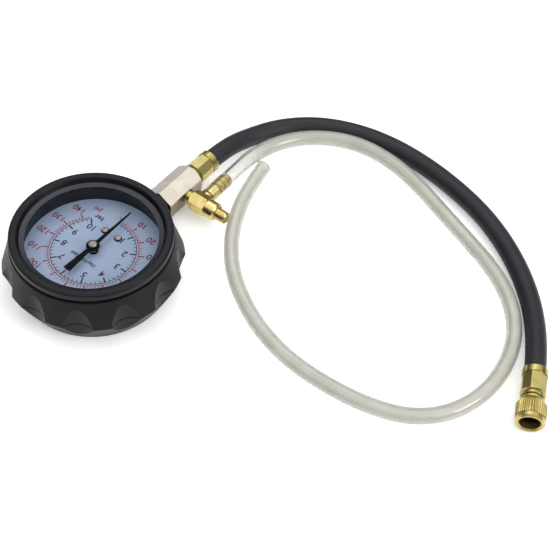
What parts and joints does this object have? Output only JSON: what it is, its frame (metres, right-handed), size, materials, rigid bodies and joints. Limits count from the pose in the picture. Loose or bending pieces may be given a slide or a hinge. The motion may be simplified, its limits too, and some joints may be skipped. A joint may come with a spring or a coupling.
{
  "type": "fuel pressure gauge",
  "caption": "Dial gauge in a scalloped rubber boot, with a hex manifold, push-button bleed valve, clear drain tube and a test hose with a knurled swivel nut.",
  "frame": {"origin": "centre of the rubber boot's base, which lies on the table", "axes": "+Z the way the dial faces; -Y along the stem towards the hose; -X the way the bleed valve's button points"},
  "size_m": [0.3343, 0.2731, 0.043],
  "materials": {
    "boot_rubber": "satin moulded rubber",
    "case_steel": "black enamel on a pressed steel cup",
    "bezel_steel": "dark grey lacquer, slightly glossy",
    "seal_rubber": "matte seal rubber",
    "window_clear": "clear polished window",
    "dial_white": "matte white print ground",
    "screw_steel": "nickel-plated screws",
    "movement_brass": "machined brass",
    "socket_brass": "machined brass",
    "bourdon_bronze": "drawn phosphor bronze",
    "link_steel": "ground steel",
    "pointer_black": "matte black paint",
    "cap_nickel": "polished nickel",
    "manifold_nickel": "satin nickel plate on machined hex bar",
    "valve_brass": "bright machined brass",
    "spring_steel": "spring wire",
    "nipple_zinc": "yellow chromate on zinc plate",
    "ferrule_zinc": "yellow iridescent chromate on zinc plate",
    "hose_rubber": "extruded rubber with a faint woven print",
    "nut_brass": "knurled brass",
    "tube_clear": "clear soft vinyl"
  },
  "bodies": {
    "gauge": {"rubber_boot": "boot_rubber", "gauge_case": "case_steel", "bezel_ring": "bezel_steel", "window_gasket": "seal_rubber", "window": "window_clear", "dial_plate": "dial_white", "dial_screws": "screw_steel", "dial_posts": "movement_brass", "socket_block": "socket_brass", "case_screws": "screw_steel", "bourdon_tube": "bourdon_bronze", "hairspring_stud": "movement_brass", "movement_back_plate": "movement_brass", "movement_front_plate": "movement_brass", "movement_pillars": "movement_brass", "movement_screws": "screw_steel", "hex_manifold": "manifold_nickel", "valve_body": "valve_brass", "valve_bonnet": "valve_brass", "button_spring": "spring_steel", "hose_nipple": "nipple_zinc", "ferrule_near": "ferrule_zinc", "black_hose": "hose_rubber", "ferrule_far": "ferrule_zinc", "swivel_tailpiece": "valve_brass", "nut_washer": "seal_rubber", "core_depressor": "valve_brass", "drain_tube": "tube_clear"},
    "pointer_shaft": {"pinion_arbor": "link_steel", "pointer": "pointer_black", "pointer_cap": "cap_nickel", "hairspring": "bourdon_bronze"},
    "sector": {"sector_gear": "movement_brass"},
    "coil_tip": {"tube_tip": "movement_brass", "link": "link_steel", "link_screw": "screw_steel"},
    "button": {"push_button": "valve_brass", "valve_stem": "valve_brass", "valve_seal": "seal_rubber"},
    "nut": {"swivel_nut": "nut_brass"}
  },
  "joints": [
    {"name": "pointer_turn", "type": "hinge", "parent": "gauge", "child": "pointer_shaft", "pos_m": [0, 0, 0.0296], "axis": [0, 0, -1], "range_deg": [0, 315]},
    {"name": "sector_turn", "type": "hinge", "parent": "gauge", "child": "sector", "pos_m": [0.01264, -0.01061, 0.0136], "axis": [0, 0, 1], "range_deg": [0, 31.6]},
    {"name": "tube_tip_slide", "type": "slide", "parent": "gauge", "child": "coil_tip", "axis": [0.723, 0.6909, 0], "range_m": [0, 0.00353], "stiffness_N_per_m": 50, "deforming": ["bourdon_tube"]},
    {"name": "button_press", "type": "slide", "parent": "gauge", "child": "button", "axis": [1, 0, 0], "range_m": [0, 0.0025], "stiffness_N_per_m": 600, "deforming": ["button_spring"]},
    {"name": "nut_swivel", "type": "hinge", "parent": "gauge", "child": "nut", "pos_m": [-0.2555, -0.1037, 0.00905], "axis": [-0.4051, 0.9143, 0], "continuous": true}
  ],
  "couplings": [
    {"joint": "pointer_turn", "follows": "tube_tip_slide", "rad_per_m": 1557.4},
    {"joint": "sector_turn", "follows": "tube_tip_slide", "rad_per_m": 155.74}
  ]
}
